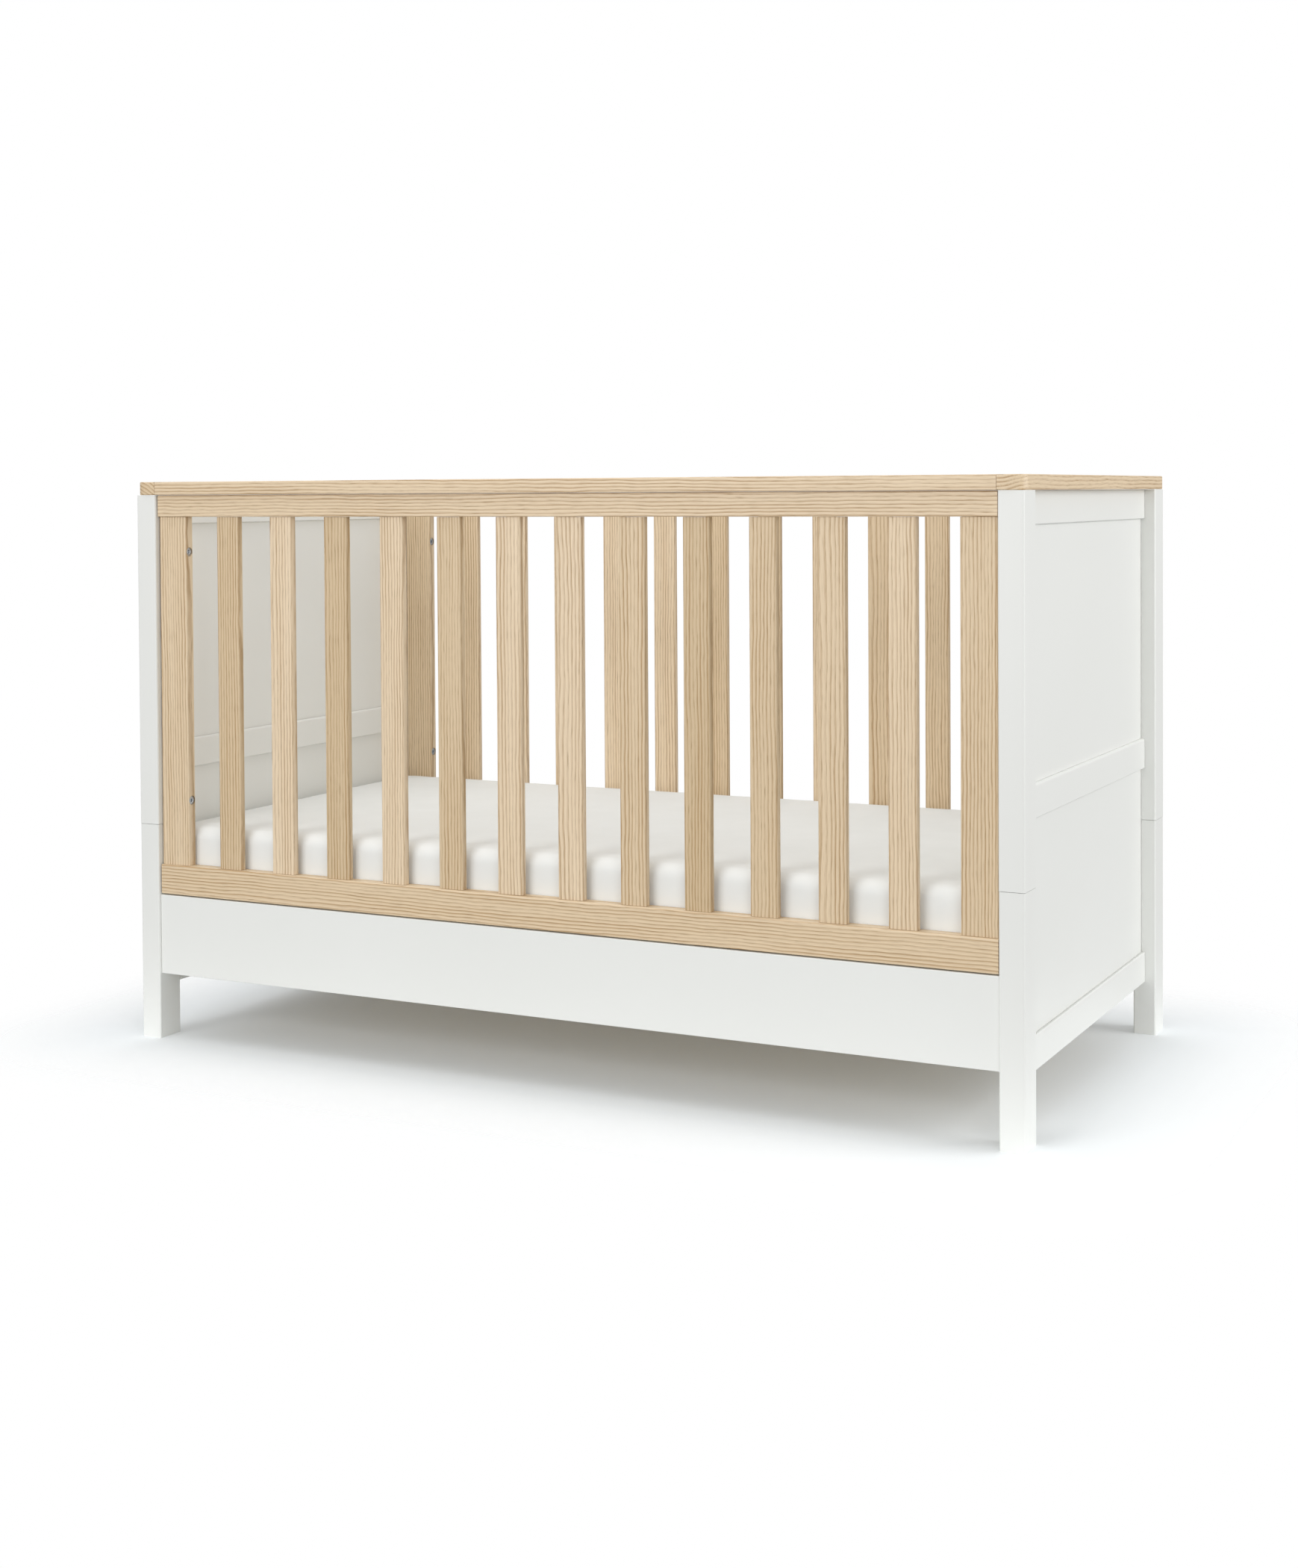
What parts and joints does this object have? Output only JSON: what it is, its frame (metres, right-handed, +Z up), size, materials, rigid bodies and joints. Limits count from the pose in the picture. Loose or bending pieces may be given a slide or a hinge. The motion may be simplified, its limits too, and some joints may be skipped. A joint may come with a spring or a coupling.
{
  "type": "cot bed",
  "caption": "Slatted cot bed with white frame-and-panel ends, ash sides and caps, a height-adjustable slatted base and a mattress in a fitted sheet.",
  "frame": {"origin": "on the floor under the middle of the cot", "axes": "+X along the cot to its right end, +Y from its front side to its rear side, +Z up"},
  "size_m": [1.484, 0.762, 0.9],
  "materials": {
    "white_paint": "satin white paint on hardwood",
    "ash_wood": "matt clear lacquer on ash",
    "base_pine": "bare sanded pine",
    "cotton_sheet": "white brushed cotton jersey",
    "zinc_steel": "bright zinc plating"
  },
  "bodies": {
    "lower_frame": {"leg_front_left": "white_paint", "leg_front_right": "white_paint", "leg_rear_left": "white_paint", "leg_rear_right": "white_paint", "end_bottom_rail_left": "white_paint", "end_bottom_rail_right": "white_paint", "lower_panel_left": "white_paint", "lower_panel_right": "white_paint", "lower_side_rail_front": "white_paint", "lower_side_rail_rear": "white_paint"},
    "upper_cage": {"upper_post_front_left": "white_paint", "upper_post_front_right": "white_paint", "upper_post_rear_left": "white_paint", "upper_post_rear_right": "white_paint", "end_cap_left": "ash_wood", "end_cap_right": "ash_wood", "end_top_rail_left": "white_paint", "end_top_rail_right": "white_paint", "end_middle_rail_left": "white_paint", "end_middle_rail_right": "white_paint", "upper_panel_left": "white_paint", "upper_panel_right": "white_paint", "side_cap_front": "ash_wood", "side_cap_rear": "ash_wood", "side_top_rail_front": "ash_wood", "side_top_rail_rear": "ash_wood", "side_bottom_rail_front": "ash_wood", "side_bottom_rail_rear": "ash_wood", "stile_front_left": "ash_wood", "stile_front_right": "ash_wood", "stile_rear_left": "ash_wood", "stile_rear_right": "ash_wood", "slat_front_1": "ash_wood", "slat_front_2": "ash_wood", "slat_front_3": "ash_wood", "slat_front_4": "ash_wood", "slat_front_5": "ash_wood", "slat_front_6": "ash_wood", "slat_front_7": "ash_wood", "slat_front_8": "ash_wood", "slat_front_9": "ash_wood", "slat_front_10": "ash_wood", "slat_front_11": "ash_wood", "slat_front_12": "ash_wood", "slat_rear_1": "ash_wood", "slat_rear_2": "ash_wood", "slat_rear_3": "ash_wood", "slat_rear_4": "ash_wood", "slat_rear_5": "ash_wood", "slat_rear_6": "ash_wood", "slat_rear_7": "ash_wood", "slat_rear_8": "ash_wood", "slat_rear_9": "ash_wood", "slat_rear_10": "ash_wood", "slat_rear_11": "ash_wood", "slat_rear_12": "ash_wood"},
    "mattress_base": {"base_frame": "base_pine", "base_slat_deck": "base_pine"},
    "mattress_body": {"mattress": "cotton_sheet"}
  },
  "joints": [
    {"name": "cage_lift", "type": "slide", "parent": "lower_frame", "child": "upper_cage", "axis": [0, 0, 1], "range_m": [0, 0.25]},
    {"name": "base_height", "type": "slide", "parent": "lower_frame", "child": "mattress_base", "axis": [0, 0, 1], "range_m": [0, 0.25]},
    {"name": "mattress_lift", "type": "slide", "parent": "mattress_base", "child": "mattress_body", "axis": [0, 0, 1], "range_m": [0, 0.68]}
  ]
}
